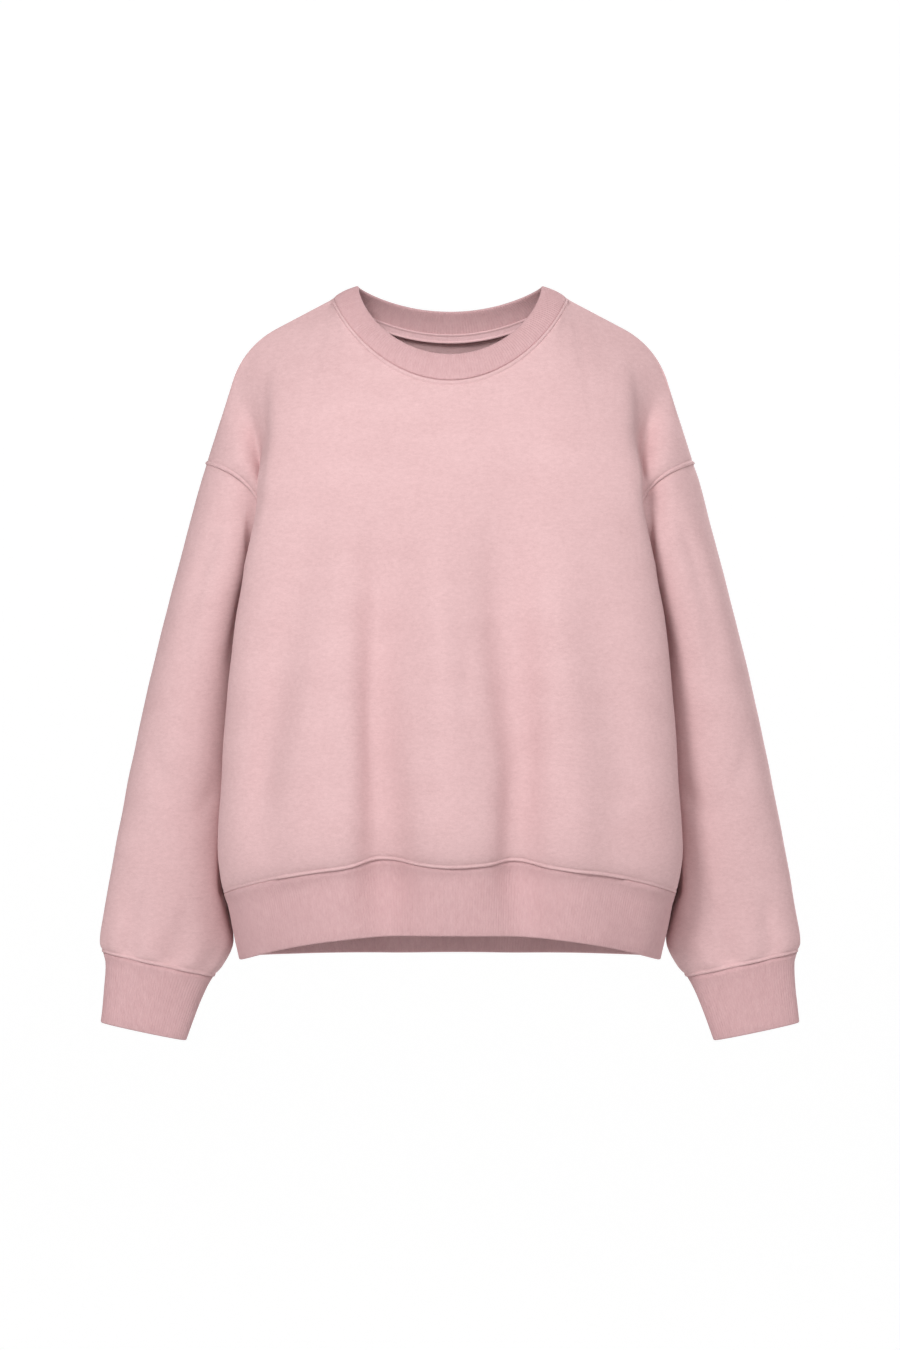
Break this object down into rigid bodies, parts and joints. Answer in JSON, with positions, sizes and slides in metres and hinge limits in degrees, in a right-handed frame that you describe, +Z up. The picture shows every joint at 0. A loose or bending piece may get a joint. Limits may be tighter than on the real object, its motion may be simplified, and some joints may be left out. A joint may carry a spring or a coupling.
{
  "type": "crewneck sweatshirt",
  "caption": "Relaxed crewneck sweatshirt in brushed fleece with drop shoulders and rib-knit neckband, cuffs and hem, filled out hollow as if worn.",
  "frame": {"origin": "midway between the two points where the neck seam crosses the shoulder seams", "axes": "+Z up, -Y out of the front, +X towards the wearer's left"},
  "size_m": [0.682, 0.2815, 0.7339],
  "materials": {
    "fleece": "dusty pink cotton fleece, plain knit face, matt and slightly mottled",
    "rib": "dusty pink 1 by 1 rib knit, matt",
    "tape": "dusty pink knit seam tape, matt"
  },
  "bodies": {
    "root": {"front": "fleece", "back": "fleece", "sleeve_right": "fleece", "sleeve_left": "fleece", "cuff_right": "rib", "cuff_left": "rib", "hem_band": "rib", "neckband": "rib", "neck_tape": "tape"}
  },
  "joints": []
}
